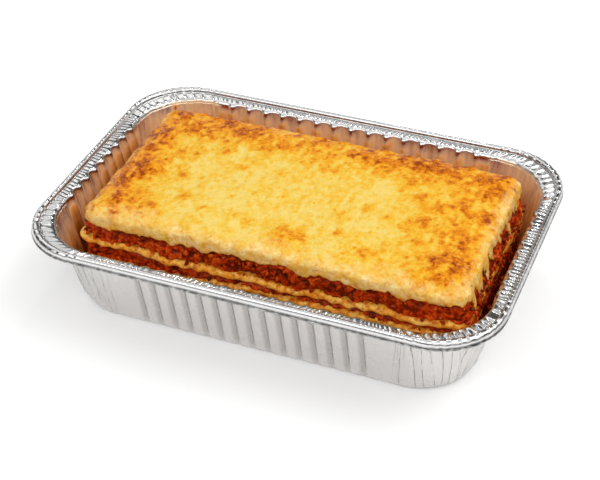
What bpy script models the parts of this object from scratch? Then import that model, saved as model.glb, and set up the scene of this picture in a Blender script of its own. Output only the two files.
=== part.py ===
"""Foil tray meal: an oblong foil takeaway tray that holds a layered lasagne slab.

The tray is one pressed shell with pleated walls and a rolled rim. The slab stands free of the
walls and is stacked from sauce, two pasta sheets and a browned cheese top with a drooping edge.
Metres, +Z up, origin at the middle of the tray's underside, +X along the tray's length.
"""
import math
from collections import namedtuple

import bmesh
import bpy
from mathutils import noise, Vector

Station = namedtuple("Station", "quarter kind place share")

# Tray sizes
TRAY_LENGTH = 0.2140
TRAY_WIDTH = 0.1451
TRAY_HEIGHT = 0.0429
RIM_CORNER_RADIUS = 0.0291
RIM_WIDTH = 0.0084
BEAD_HEIGHT = 0.0042
FOIL = 0.0005
BASE_LENGTH = 0.1852
BASE_WIDTH = 0.1142
BASE_CORNER_RADIUS = 0.0258
WALL_TOP_LENGTH = TRAY_LENGTH - 2 * RIM_WIDTH
WALL_TOP_WIDTH = TRAY_WIDTH - 2 * RIM_WIDTH
WALL_TOP_RADIUS = 0.0272

# Pleats pressed into the walls
PLEAT_PITCH = 0.00725
BACK_PLEAT_PITCH = 0.0088
PLEAT_HALF_WIDTH = 0.0012
PLEAT_DEPTH = 0.0009
PLEATS_LONG_SIDE = 15
PLEATS_SHORT_SIDE = 9
CORNER_STEPS = 6
CORNER_FLUTE_DEPTH = 0.0004

# Rings of the tray's section. Rim rows: inset from the outer edge, drop below the tray's top
RIM_ROWS = (
    (0.0006, BEAD_HEIGHT),
    (0.0000, 0.0020),
    (0.0015, 0.0000),
    (0.0032, 0.0018),
    (RIM_WIDTH - 0.0005, 0.0030),
)
# Wall rows: share of the way from base size to wall-top size, height, share of the pleat depth
WALL_ROWS = (
    (0.93, 0.0366, 0.8),
    (0.06, 0.0056, 1.0),
)
# Base rows: inset from the base's outline, height, share of the pleat depth
BASE_ROWS = (
    (0.0018, 0.0018, 0.3),
    (0.0046, FOIL, 0.0),
)

# Food slab in plan
SLAB_LENGTH = 0.1724
SLAB_WIDTH = 0.0878
SLAB_CORNER_RADIUS = 0.0045
SLAB_CENTRE = (0.0015, -0.0008)
SLAB_LEAST_RADIUS = 0.0010
LONG_SIDE_STEPS = 24
SHORT_SIDE_STEPS = 16
SLAB_CORNER_STEPS = 3
FLAT_INSET = 0.0100
FOOT_INSET = 0.0045
# The left end leans in above this height, and all of the lean is taken up right of the left end
LEAN_FROM = 0.0300
LEAN_SLOPE = 0.13
LEAN_MOST = 0.0025
LEAN_END = -0.060

# Layer heights above the table, and the waves along their edges
SLAB_BOTTOM = FOIL + 0.0003
GAP = 0.0003
LOWER_PASTA_BOTTOM = 0.0226
LOWER_PASTA_TOP = 0.0268
UPPER_PASTA_BOTTOM = 0.0284
UPPER_PASTA_TOP = 0.0328
CHEESE_BOTTOM = 0.0428
CHEESE_TOP = 0.0492
SHEET_WAVE = 0.0007
SHEET_WAVES = (13, 22)
CHEESE_EDGE_WAVE = 0.0010
CHEESE_WAVES = (11, 19)
LEFT_END_DROOP = 0.0062
LEFT_DROOP_FROM = -0.020
LEFT_DROOP_TO = -0.050
LEFT_END_LIFT = 0.0020
LEFT_LIFT_FROM = -0.040
LEFT_LIFT_TO = -0.080

# Edge relief: how far each layer stands out past the stacked outline, and each wave's own shift
SAUCE_BULGE = 0.0007
SAUCE_LUMP = 0.0006
SAUCE_LEAST_BULGE = 0.0002
SAUCE_WAVES = (17, 29)
PASTA_LIP = 0.0016
PASTA_LIP_WAVE = 0.0007
SHEET_WAVE_SHIFT = 1.3
CHEESE_WAVE_SHIFT = 2.1
LIP_WAVE_SHIFT = 0.4
SAUCE_TOP_SHIFT = 0.9
SAUCE_MIDDLE_SHIFT = 0.6
SAUCE_BOTTOM_SHIFT = 0.2
UPPER_LIP_SHIFT = 1.7
LOWER_LIP_SHIFT = 0.5

# Cheese edge
LIP_CLEARANCE = 0.0006
LIP_THICKNESS = 0.0016
LIP_DROP = 0.0011
LIP_DROP_WAVE = 0.0009
TONGUE_DROP = 0.0050
TONGUE_COUNT = 5
TONGUE_LEAST = 0.7
TONGUE_SPREAD = 0.3
TONGUE_TURN = 5.0
LIP_FULLEST = 0.8
LIP_RISE = 0.5
SHOULDER_SHARE = 0.3
SHOULDER_DROP = 0.0022
LEFT_EDGE_FALL = 0.0018
TOP_RIM_FALL = 0.0007
SWELL_HEIGHT = 0.0008
SWELL_SIZE = 0.030
SWELL_LEVEL = 0.7
# Browned blisters: x, y, radius and rise
BLISTERS = (
    (-0.074, -0.001, 0.0085, 0.0011),
    (-0.058, -0.026, 0.0070, 0.0008),
    (-0.045, 0.024, 0.0065, 0.0007),
    (-0.070, 0.030, 0.0060, 0.0008),
    (0.006, -0.022, 0.0080, 0.0013),
    (0.020, 0.030, 0.0070, 0.0008),
    (0.062, 0.009, 0.0080, 0.0009),
    (0.073, -0.026, 0.0110, 0.0012),
    (0.078, 0.034, 0.0070, 0.0009),
)
TOP_RING_INSETS = (0.0040, 0.0120, 0.0220, 0.0330, 0.0420)

# Materials: colour, roughness and metallic value
FOIL_FINISH = ((0.80, 0.80, 0.81), 0.28, 1.0)
SAUCE_FINISH = ((0.33, 0.055, 0.012), 0.35, 0.0)
PASTA_FINISH = ((0.86, 0.56, 0.17), 0.45, 0.0)
CHEESE_FINISH = ((0.90, 0.58, 0.15), 0.40, 0.0)


def clear_scene():
    for obj in list(bpy.data.objects):
        bpy.data.objects.remove(obj, do_unlink=True)


def make_collection(name):
    collection = bpy.data.collections.new(name)
    bpy.context.scene.collection.children.link(collection)
    return collection


def principled(name, colour, roughness, metallic):
    material = bpy.data.materials.new(name)
    material.use_nodes = True
    shader = material.node_tree.nodes["Principled BSDF"]
    shader.inputs["Base Color"].default_value = (*colour, 1.0)
    shader.inputs["Roughness"].default_value = roughness
    shader.inputs["Metallic"].default_value = metallic
    return material


def add_object(name, mesh_builder, material, collection):
    """Turn a bmesh into a named object with one material."""
    mesh = bpy.data.meshes.new(name)
    mesh_builder.to_mesh(mesh)
    mesh_builder.free()
    mesh.materials.append(material)
    obj = bpy.data.objects.new(name, mesh)
    collection.objects.link(obj)
    return obj


def smooth_step(value, start, end):
    """0 at start, 1 at end, with a soft run between them."""
    t = min(max((value - start) / (end - start), 0.0), 1.0)
    return t * t * (3.0 - 2.0 * t)


# Tray

def tray_stations():
    """Points round the tray as (side, place, dip): a place along a straight side, or a corner angle.

    dip is 1 in the bottom of a pleat, 0 on its shoulders, and a corner flute's share in between.
    """
    stations = []
    for quarter in range(4):
        pleats = PLEATS_LONG_SIDE if quarter % 2 == 0 else PLEATS_SHORT_SIDE
        pitch = BACK_PLEAT_PITCH if quarter == 2 else PLEAT_PITCH
        for pleat in range(pleats):
            middle = (pleat - (pleats - 1) / 2) * pitch
            stations.append(("side", quarter, middle - PLEAT_HALF_WIDTH, 0.0))
            stations.append(("side", quarter, middle, 1.0))
            stations.append(("side", quarter, middle + PLEAT_HALF_WIDTH, 0.0))
        for step in range(CORNER_STEPS + 1):
            flute = CORNER_FLUTE_DEPTH / PLEAT_DEPTH if step % 2 else 0.0
            stations.append(("corner", quarter, step / CORNER_STEPS * math.pi / 2, flute))
    return stations


def tray_ring(length, width, radius, height, pleat_share):
    """One closed ring of the tray's shell, with its pleats dipping inwards."""
    halves = (length / 2, width / 2)
    ring = []
    for kind, quarter, place, dip in tray_stations():
        turn = quarter * math.pi / 2
        along = halves[quarter % 2] - radius
        out = halves[(quarter + 1) % 2]
        inward = dip * PLEAT_DEPTH * pleat_share
        if kind == "side":
            x, y = place, -(out - inward)
        else:
            x = along + (radius - inward) * math.sin(place)
            y = -(out - radius) - (radius - inward) * math.cos(place)
        ring.append((
            x * math.cos(turn) - y * math.sin(turn),
            x * math.sin(turn) + y * math.cos(turn),
            height,
        ))
    return ring


def tray_rings():
    """The shell's upper and inner face, from the lip under the bead to the flat floor."""
    rings = []
    for inset, drop in RIM_ROWS:
        share = inset / RIM_WIDTH
        radius = RIM_CORNER_RADIUS + (WALL_TOP_RADIUS - RIM_CORNER_RADIUS) * share
        length, width = TRAY_LENGTH - 2 * inset, TRAY_WIDTH - 2 * inset
        rings.append(tray_ring(length, width, radius, TRAY_HEIGHT - drop, 0.0))
    for share, height, pleat in WALL_ROWS:
        rings.append(tray_ring(
            BASE_LENGTH + (WALL_TOP_LENGTH - BASE_LENGTH) * share - 2 * FOIL,
            BASE_WIDTH + (WALL_TOP_WIDTH - BASE_WIDTH) * share - 2 * FOIL,
            BASE_CORNER_RADIUS + (WALL_TOP_RADIUS - BASE_CORNER_RADIUS) * share,
            height,
            pleat,
        ))
    for inset, height, pleat in BASE_ROWS:
        length, width = BASE_LENGTH - 2 * inset, BASE_WIDTH - 2 * inset
        rings.append(tray_ring(length, width, BASE_CORNER_RADIUS - inset, height, pleat))
    return rings


def bridge(builder, lower, upper, falling=False):
    """Triangles between two closed rings; falling ones split each quad along its other diagonal."""
    count = len(lower)
    for index in range(count):
        after = (index + 1) % count
        if falling:
            builder.faces.new((lower[index], lower[after], upper[index]))
            builder.faces.new((lower[after], upper[after], upper[index]))
        else:
            builder.faces.new((lower[index], lower[after], upper[after]))
            builder.faces.new((lower[index], upper[after], upper[index]))


def build_tray(material, collection):
    builder = bmesh.new()
    rings = [[builder.verts.new(point) for point in ring] for ring in tray_rings()]
    for outer, inner in zip(rings, rings[1:]):
        bridge(builder, outer, inner)
    builder.faces.new(rings[-1])
    tray = add_object("foil_tray", builder, material, collection)
    shell = tray.modifiers.new("foil thickness", "SOLIDIFY")
    shell.thickness = FOIL
    shell.offset = -1.0
    shell.use_even_offset = True
    return tray


# Food

def slab_stations():
    """Points round the slab: quarter, kind, place (side -1 to 1, corner angle) and share of the turn."""
    places = []
    for quarter in range(4):
        steps = LONG_SIDE_STEPS if quarter % 2 == 0 else SHORT_SIDE_STEPS
        for step in range(steps + 1):
            places.append((quarter, "side", 2 * step / steps - 1))
        for step in range(1, SLAB_CORNER_STEPS):
            places.append((quarter, "corner", step / SLAB_CORNER_STEPS * math.pi / 2))
    return [Station(*place, index / len(places)) for index, place in enumerate(places)]


def slab_point(station, inset, push):
    """A station's place on the slab's outline, moved in by an inset and out by a push."""
    radius = max(SLAB_CORNER_RADIUS - inset, SLAB_LEAST_RADIUS)
    halves = (SLAB_LENGTH / 2 - inset, SLAB_WIDTH / 2 - inset)
    along = halves[station.quarter % 2] - radius
    out = halves[(station.quarter + 1) % 2] - radius
    angle = station.place if station.kind == "corner" else 0.0
    x = along * (station.place if station.kind == "side" else 1.0) + (radius + push) * math.sin(angle)
    y = -out - (radius + push) * math.cos(angle)
    turn = station.quarter * math.pi / 2
    return (
        SLAB_CENTRE[0] + x * math.cos(turn) - y * math.sin(turn),
        SLAB_CENTRE[1] + x * math.sin(turn) + y * math.cos(turn),
    )


def leaned(x, z):
    """The slab's left end leans in towards the top."""
    lean = min(max(LEAN_SLOPE * (z - LEAN_FROM), 0.0), LEAN_MOST)
    return x + lean * smooth_step(x, LEAN_END, SLAB_CENTRE[0] - SLAB_LENGTH / 2)


def slab_ring(height, inset=0.0, push=None):
    """A closed ring of points; height and push are numbers or functions of the station."""
    ring = []
    for station in slab_stations():
        out = push(station) if push else 0.0
        x, y = slab_point(station, inset, out)
        z = height(station) if callable(height) else height
        ring.append((leaned(x, z), y, z))
    return ring


def wave(station, counts, shift):
    """A smooth uneven wave round the slab, between -1 and 1."""
    turn = station.share * 2 * math.pi
    return sum(math.sin(count * turn + shift * count) for count in counts) / len(counts)


def left_end(station, start, end):
    """0 on most of the slab and 1 at its left end."""
    return smooth_step(slab_point(station, 0.0, 0.0)[0], start, end)


def sheet_height(level, droop=0.0, lift=0.0):
    """Edge height of a pasta sheet's face: waves, with its left end drooping or lifting."""
    def height(station):
        fall = droop * left_end(station, LEFT_DROOP_FROM, LEFT_DROOP_TO)
        rise = lift * left_end(station, LEFT_LIFT_FROM, LEFT_LIFT_TO)
        return level + SHEET_WAVE * wave(station, SHEET_WAVES, SHEET_WAVE_SHIFT) - fall + rise
    return height


def cheese_bottom(station):
    return CHEESE_BOTTOM + CHEESE_EDGE_WAVE * wave(station, CHEESE_WAVES, CHEESE_WAVE_SHIFT)


INTERFACES = {
    "lower_pasta_bottom": (LOWER_PASTA_BOTTOM, sheet_height(LOWER_PASTA_BOTTOM, droop=LEFT_END_DROOP)),
    "lower_pasta_top": (LOWER_PASTA_TOP, sheet_height(LOWER_PASTA_TOP, droop=LEFT_END_DROOP)),
    "upper_pasta_bottom": (UPPER_PASTA_BOTTOM, sheet_height(UPPER_PASTA_BOTTOM, lift=LEFT_END_LIFT)),
    "upper_pasta_top": (UPPER_PASTA_TOP, sheet_height(UPPER_PASTA_TOP, lift=LEFT_END_LIFT)),
    "cheese_bottom": (CHEESE_BOTTOM, cheese_bottom),
}


def level(amount):
    """The same height or push at every station."""
    return lambda station: amount


def shifted(height, shift):
    return lambda station: height(station) + shift


def between(lower, upper, share):
    return lambda station: lower(station) + (upper(station) - lower(station)) * share


def solid_from_rings(name, rings, material, collection):
    """A closed body through stacked rings, from the middle of its underside to the middle of its top.

    The underside is split along the same diagonals as the top of the layer below it, so that the
    two wavy faces stay one gap apart.
    """
    builder = bmesh.new()
    loops = [[builder.verts.new(point) for point in ring] for ring in rings]
    builder.faces.new(reversed(loops[0]))
    bridge(builder, loops[0], loops[1], falling=True)
    for lower, upper in zip(loops[1:], loops[2:]):
        bridge(builder, lower, upper)
    builder.faces.new(loops[-1])
    return add_object(name, builder, material, collection)


def build_layer(name, lower_key, upper_key, rows, material, collection):
    """A layer between two interfaces, half a gap clear of each; rows are (share of height, push)."""
    upper_flat, upper_edge = INTERFACES[upper_key]
    top = shifted(upper_edge, -GAP / 2)
    rings = []
    if lower_key:
        lower_flat, lower_edge = INTERFACES[lower_key]
        bottom = shifted(lower_edge, GAP / 2)
        rings.append(slab_ring(lower_flat + GAP / 2, FLAT_INSET))
        rings.append(slab_ring(bottom))
    else:
        bottom = level(SLAB_BOTTOM)
        rings.append(slab_ring(SLAB_BOTTOM, FOOT_INSET))
    for share, push in rows:
        rings.append(slab_ring(between(bottom, top, share), push=push))
    rings.append(slab_ring(top))
    rings.append(slab_ring(upper_flat - GAP / 2, FLAT_INSET))
    return solid_from_rings(name, rings, material, collection)


def lumps(amount, shift):
    """Mince standing out of a sauce layer's side."""
    def push(station):
        lump = amount + SAUCE_LUMP * wave(station, SAUCE_WAVES, shift)
        return max(lump, SAUCE_LEAST_BULGE)
    return push


def lumps_clear_of_tongues(station):
    """Mince in the top sauce layer, flat on the right where the cheese tongues hang over it."""
    clear = 1.0 - side_share(station, 1)
    lump = lumps(SAUCE_BULGE, SAUCE_TOP_SHIFT)(station)
    return SAUCE_LEAST_BULGE + clear * (lump - SAUCE_LEAST_BULGE)


def pasta_lip(shift):
    return lambda station: PASTA_LIP + PASTA_LIP_WAVE * wave(station, SHEET_WAVES, shift)


def side_share(station, quarter):
    """1 along one side, fading to 0 round its two corners."""
    if station.quarter == quarter and station.kind == "side":
        return 1.0
    if station.kind == "corner" and station.quarter == (quarter - 1) % 4:
        return station.place / (math.pi / 2)
    if station.kind == "corner" and station.quarter == quarter:
        return 1.0 - station.place / (math.pi / 2)
    return 0.0


def lip_drop(station):
    """How far the cheese hangs below its underside: a little all round, in tongues on the right."""
    drop = LIP_DROP + LIP_DROP_WAVE * wave(station, CHEESE_WAVES, LIP_WAVE_SHIFT)
    if station.quarter == 1 and station.kind == "side":
        tongue = math.sin((station.place + 1) / 2 * TONGUE_COUNT * math.pi) ** 2
        uneven = TONGUE_LEAST + TONGUE_SPREAD * math.sin(TONGUE_TURN * station.place + 1.0)
        drop += TONGUE_DROP * tongue * uneven
    return drop


def lip_bottom(station):
    return cheese_bottom(station) - lip_drop(station)


def shoulder_height(station):
    return CHEESE_TOP - SHOULDER_DROP - LEFT_EDGE_FALL * side_share(station, 3)


def cheese_height(x, y):
    """The cheese's upper face: low swells with browned blisters on them."""
    height = CHEESE_TOP + SWELL_HEIGHT * noise.noise(Vector((x / SWELL_SIZE, y / SWELL_SIZE, SWELL_LEVEL)))
    for blister_x, blister_y, radius, rise in BLISTERS:
        distance = math.hypot(x - blister_x, y - blister_y)
        height += rise * smooth_step(distance, radius, 0.0)
    return height


def build_cheese(material, collection):
    """The cheese: a flat underside, a hanging lip with a soft shoulder, and an uneven upper face."""
    edge = cheese_bottom
    fullest = LIP_CLEARANCE + LIP_THICKNESS * LIP_FULLEST
    shoulder = LIP_CLEARANCE + LIP_THICKNESS * SHOULDER_SHARE
    rings = [
        slab_ring(CHEESE_BOTTOM + GAP / 2, FLAT_INSET),
        slab_ring(shifted(edge, GAP / 2)),
        slab_ring(shifted(edge, GAP / 2), push=level(LIP_CLEARANCE)),
        slab_ring(lip_bottom, push=level(LIP_CLEARANCE)),
        slab_ring(shifted(lip_bottom, LIP_THICKNESS / 3), push=level(fullest)),
        slab_ring(between(edge, shoulder_height, LIP_RISE), push=level(LIP_CLEARANCE + LIP_THICKNESS)),
        slab_ring(shoulder_height, push=level(shoulder)),
    ]
    for inset in TOP_RING_INSETS:
        rim_fall = TOP_RIM_FALL if inset == TOP_RING_INSETS[0] else 0.0
        flat = slab_ring(CHEESE_TOP, inset)
        rings.append([(x, y, cheese_height(x, y) - rim_fall) for x, y, z in flat])
    return solid_from_rings("cheese_top", rings, material, collection)


def build_food(materials, collection):
    """The layers from the bottom up; each row of a side is a share of its height and a push."""
    sauce, pasta, cheese = materials
    base = lumps(0.0, SAUCE_BOTTOM_SHIFT)
    swell = lumps(SAUCE_BULGE, SAUCE_BOTTOM_SHIFT)
    middle = lumps(0.0, SAUCE_MIDDLE_SHIFT)
    lower_lip = pasta_lip(LOWER_LIP_SHIFT)
    upper_lip = pasta_lip(UPPER_LIP_SHIFT)
    layers = (
        ("sauce_bottom", None, "lower_pasta_bottom", ((0.2, base), (0.6, swell)), sauce),
        ("pasta_lower", "lower_pasta_bottom", "lower_pasta_top", ((0.5, lower_lip),), pasta),
        ("sauce_middle", "lower_pasta_top", "upper_pasta_bottom", ((0.5, middle),), sauce),
        ("pasta_upper", "upper_pasta_bottom", "upper_pasta_top", ((0.5, upper_lip),), pasta),
        (
            "sauce_top", "upper_pasta_top", "cheese_bottom",
            ((0.35, lumps_clear_of_tongues), (0.70, level(SAUCE_LEAST_BULGE))), sauce,
        ),
    )
    for name, lower, upper, rows, material in layers:
        build_layer(name, lower, upper, rows, material, collection)
    build_cheese(cheese, collection)


def main():
    clear_scene()
    collection = make_collection("foil_tray_meal")
    build_tray(principled("foil", *FOIL_FINISH), collection)
    finishes = (("meat_sauce", SAUCE_FINISH), ("pasta", PASTA_FINISH), ("cheese", CHEESE_FINISH))
    build_food([principled(name, *finish) for name, finish in finishes], collection)


main()
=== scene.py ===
"""Looks of the foil tray meal: pressed foil, layered lasagne and a browned cheese top."""
import math
from itertools import product

import bmesh
import bpy
import numpy as np
from mathutils import Matrix, noise, Vector


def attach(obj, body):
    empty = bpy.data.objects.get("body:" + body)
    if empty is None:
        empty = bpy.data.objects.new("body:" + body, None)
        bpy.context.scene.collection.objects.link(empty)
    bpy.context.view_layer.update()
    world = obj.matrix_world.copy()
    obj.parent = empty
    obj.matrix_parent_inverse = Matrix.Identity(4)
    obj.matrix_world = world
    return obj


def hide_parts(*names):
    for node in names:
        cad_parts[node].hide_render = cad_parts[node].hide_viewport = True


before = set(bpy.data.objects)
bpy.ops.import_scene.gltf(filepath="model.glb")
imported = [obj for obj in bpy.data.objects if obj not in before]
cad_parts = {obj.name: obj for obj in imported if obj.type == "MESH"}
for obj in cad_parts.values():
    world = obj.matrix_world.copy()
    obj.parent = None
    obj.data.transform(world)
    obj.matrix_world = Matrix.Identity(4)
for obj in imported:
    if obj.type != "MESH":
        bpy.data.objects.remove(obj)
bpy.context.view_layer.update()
MM = 0.001

# Camera, fitted to the photograph
CAMERA_AZIMUTH = math.radians(22.888)
CAMERA_ELEVATION = math.radians(37.171)
CAMERA_ROLL = math.radians(-1.535)
CAMERA_DISTANCE = 0.661246
CAMERA_TARGET = Vector((-0.000585, -0.000125, 0.02))
CAMERA_LENS = 88.0
SENSOR_WIDTH = 36.0

# Tray sizes, as in the solids
TRAY_LENGTH = 0.214
TRAY_WIDTH = 0.1451
TRAY_HEIGHT = 0.0429
RIM_CORNER_RADIUS = 0.0291
RIM_WIDTH = 0.0084
BEAD_WIDTH = 0.0034
FOIL_THICKNESS = 0.00012
BASE_LENGTH = 0.1852
BASE_WIDTH = 0.1142
BASE_CORNER_RADIUS = 0.0258
WALL_TOP_RADIUS = 0.0272
PLEAT_PITCH = 0.00725
BACK_PLEAT_PITCH = 0.0088
PLEATS_LONG_SIDE = 15
PLEATS_SHORT_SIDE = 9
PLEAT_DEPTH = 0.001
PLEAT_HALF_WIDTH = 0.0013

# Food slab, as in the solids
SLAB_LENGTH = 0.1724
SLAB_WIDTH = 0.0878
SLAB_CORNER_RADIUS = 0.0045
SLAB_CENTRE = (0.0015, -0.0008)
LONG_SIDE_STEPS = 24
SHORT_SIDE_STEPS = 16
SLAB_CORNER_STEPS = 3
FLAT_INSET = 0.01
LAYER_GAP = 0.0001
CHEESE_BOTTOM = 0.0428
CHEESE_TOP = 0.0492
SHEET_WAVE = 0.0007
SHEET_WAVES = (13, 22)
CHEESE_EDGE_WAVE = 0.001
CHEESE_WAVES = (11, 19)
LEFT_DROOP = (-0.02, -0.05)
LEFT_LIFT = (-0.04, -0.08)
# Faces between layers: height, and how far the left end droops and lifts
FACES = {
    "floor": (0.0008, 0.0, 0.0),
    "lower_pasta_bottom": (0.0226, 0.0062, 0.0),
    "lower_pasta_top": (0.0268, 0.0062, 0.0),
    "upper_pasta_bottom": (0.0284, 0.0, 0.002),
    "upper_pasta_top": (0.0328, 0.0, 0.002),
    "cheese_bottom": (CHEESE_BOTTOM, 0.0, 0.0),
}
LEAN_FROM = 0.03
LEAN_SLOPE = 0.13
LEAN_MOST = 0.0025
LEAN_END = -0.06

# Mesh fineness
SLAB_STEP = 0.0006
SAUCE_STEP = 0.00042
STEPS_PER_PLEAT = 12
WALL_ROWS = 10
WELD_DISTANCE = 0.00001

# Browned patches on the cheese: x, y, radius in millimetres and depth of colour
BROWN_PATCHES = (
    (-76, -14, 7.5, 1.0), (-70, -6, 8.0, 0.6), (-73, -33, 6.5, 0.8), (-56, -34, 6.0, 0.6),
    (-45, -24, 3.4, 0.8), (-43, 15, 4.6, 0.85), (-30, 6, 3.2, 0.6), (-52, -8, 3.4, 0.6),
    (7, -34, 9.0, 0.85), (15, -34, 4.0, 0.5), (-10, -30, 5.0, 0.4), (-3, 20, 3.0, 0.55),
    (7, 16, 5.0, 0.7), (-12, 8, 4.0, 0.35), (-65, 32, 7.0, 0.6), (-73, 39, 6.0, 1.0),
    (-75, 18, 7.0, 0.7), (-77, 9, 5.0, 0.6), (-61, 8, 5.0, 0.4), (-42, 30, 5.0, 0.55),
    (-57, 26, 6.0, 0.5), (-21, 27, 5.0, 0.4), (33, -4, 3.2, 0.6), (23, -14, 3.2, 0.4),
    (27, -24, 3.0, 0.65), (52, -13, 3.0, 0.45), (60, -19, 4.5, 0.7), (52, 12, 4.5, 0.65),
    (64, 7, 5.0, 0.95), (59, -6, 4.5, 0.7), (68, -7, 6.0, 0.55), (79, -12, 5.5, 0.9),
    (43, -35, 6.0, 0.65), (75, -31, 13.0, 1.0), (74, -42, 5.0, 0.6), (83, 6, 7.0, 0.8),
    (72, 12, 5.0, 0.6), (81, 36, 9.0, 0.85), (59, 35, 7.0, 0.7), (44, 21, 6.0, 0.5),
    (16, 35, 7.0, 0.8), (45, 37, 8.0, 0.75), (-3, 37, 7.0, 0.65),
)

# Foil, in millimetres: rows of the rim as inset, drop, crimp share and pleat share, and rows of
# the base as inset, height and pleat share
RIM_ROWS = (
    (1.5, 4.2, 0.0, 0.0), (0.7, 4.22, 0.0, 0.0), (0.15, 4.0, 0.1, 0.0), (0.0, 3.6, 0.15, 0.0),
    (0.12, 3.2, 0.15, 0.0), (0.5, 2.95, 0.1, 0.0), (0.45, 2.6, 0.1, 0.0), (0.22, 2.1, 0.12, 0.0),
    (0.35, 1.3, 0.15, 0.0), (0.8, 0.55, 0.18, 0.0), (1.4, 0.12, 0.18, 0.0), (2.0, 0.02, 0.18, 0.0),
    (2.6, 0.25, 0.18, 0.0), (3.0, 0.75, 0.2, 0.0), (3.2, 1.4, 0.2, 0.0), (3.4, 2.0, 0.3, 0.0),
    (3.75, 1.85, 0.8, 0.0), (4.3, 1.85, 1.0, 0.0), (4.9, 1.87, 1.0, 0.0), (5.5, 1.9, 0.95, 0.05),
    (6.1, 1.94, 0.65, 0.15), (6.7, 2.0, 0.3, 0.25), (7.3, 2.12, 0.12, 0.4), (7.8, 2.45, 0.05, 0.6),
    (8.2, 3.0, 0.0, 0.8),
)
BASE_ROWS = (
    (0.4, 3.0, 0.55), (1.3, 1.4, 0.3), (2.6, 0.4, 0.1), (4.4, 0.12, 0.0), (10.0, 0.12, 0.0),
    (25.0, 0.12, 0.0),
)
WALL_TOP = 0.0393
WALL_BOTTOM = 0.0033
WALL_SHARE_TOP = 0.985
WALL_SHARE_SPAN = 0.935
PLEAT_SLOPE = 0.0004
PANEL_BULGE = 0.0009
CORNER_EASE = 0.012
CRIMP_COUNT = 300
CRIMP_WANDER = 0.8
CRIMP_DEPTH = 0.00008
CRIMP_SLANT = 260.0
CREASE_LEAN = 0.45
CORNER_CRIMP_DEPTH = 0.00034
CORNER_FLUTE = 0.00045
CORNER_BEAD_CRIMP = 0.14
LEAST_RADIUS = 0.002

# Food relief
FOOT_INSET = 0.0045
MINCE_SIZE = 0.0032
MINCE_DEPTH = 0.0016
# Lumps of mince: size, height, tone and seed shift
MINCE_LUMPS = ((1.0, 0.66, 0.45, 0), (0.6, 0.44, 0.32, 7), (0.34, 0.24, 0.23, 14))
SAUCE_SWELL = 0.0006
SAUCE_BASE_PUSH = 0.0006
DRIP_SIZE = 0.0085
DRIP_REACH = 0.0012
RIGHT_DRIP = 0.0018
PASTA_LIP = 0.0031
PASTA_TIP = 0.001
PASTA_LIP_WAVE = 0.0005
RIPPLE_HEIGHT = 0.0008
RIPPLE_LENGTH = 0.0078
RIPPLE_DRIFT = 0.005
LIP_CLEARANCE = 0.0005
BLEND_SHARES = (0.9, 0.7, 0.45, 0.25, 0.1)
BLEND_RISE = 0.8
LIP_THICKNESS = 0.0019
LIP_DROP = 0.001
LIP_DROP_WAVE = 0.0006
LIP_RAGGED = 0.0026
LIP_STAND_OFF = 0.0002
RIGHT_SLUMP = 0.002
SLUMP_FROM = (0.044, 0.0335)
SLUMP_END = (0.004, 0.018)
OUTLINE_WOBBLE = 0.0006
EDGE_FALL = 0.0015
EDGE_EASE = 0.0042
BLISTER_RISE = 0.00085
SPOT_SPACING = 0.0072
SPOT_RISE = 0.00035
CHEESE_PEAK = 0.0503
CHEESE_SIDE_ROWS = 30
TOP_START_INSET = 0.0028
# Drips in front and tongues on the right: centre, half width and length in millimetres
FRONT_DRIPS = (
    (-55, 5, 0.8), (-41, 4, 2.2), (-25, 4.5, 2.2), (2, 4, 0.6), (19, 6, 2.4), (45, 5, 1.5), (64, 4, 2.6),
)
RIGHT_TONGUES = (
    (32, 4.0, 5.0), (26, 2.5, 2.0), (18, 4.0, 6.5), (6, 3.5, 3.0), (-7, 3.5, 5.0), (-16, 3.5, 6.5),
    (-26, 4.5, 8.5), (-35, 4.0, 7.0),
)

# Sauce layers: lower and upper face, rows, seed, drip depth in millimetres, and how much the
# relief is held back under the cheese's tongues
SAUCE_LAYERS = (
    ("sauce_top_layer", "sauce_top",
     ("upper_pasta_top", "cheese_bottom", 30, 201, 1.6, 0.9)),
    ("sauce_middle_layer", "sauce_middle",
     ("lower_pasta_top", "upper_pasta_bottom", 20, 301, 1.5, 0.0)),
    ("sauce_bottom_layer", "sauce_bottom",
     ("floor", "lower_pasta_bottom", 50, 401, 0.0, 0.0)),
)
# Pasta layers: lower and upper face, rows, and a shift of the waves
PASTA_LAYERS = (
    ("pasta_upper_sheet", "pasta_upper", ("upper_pasta_bottom", "upper_pasta_top", 14, 1.7)),
    ("pasta_lower_sheet", "pasta_lower", ("lower_pasta_bottom", "lower_pasta_top", 14, 0.5)),
)

# Spots of sauce on the foil: place and radii in millimetres
SAUCE_SPOTS = (
    ((-88.9, 56.8, 37.9), (0.5, 0.5, 1.3)), ((100.9, 39.8, 41.1), (0.75, 0.45, 0.25)),
)
SPOT_TONE = 1.3
CRUMB_RADII = (0.0004, 0.0012)
CRUMB_STRETCH = (0.55, 1.35)
CRUMB_TONES = (0.1, 0.85)
# Loose crumbs: lower and upper face, count, seed, share that spills below, and how far out in
# millimetres
CRUMBS = (
    ("mince_top", ("upper_pasta_top", "cheese_bottom", 420, 501, 0.1, 0.8)),
    ("mince_middle", ("lower_pasta_top", "upper_pasta_bottom", 110, 502, 0.4, 0.8)),
    ("mince_bottom", ("floor", "lower_pasta_bottom", 340, 503, -0.15, 0.0)),
)

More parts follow.
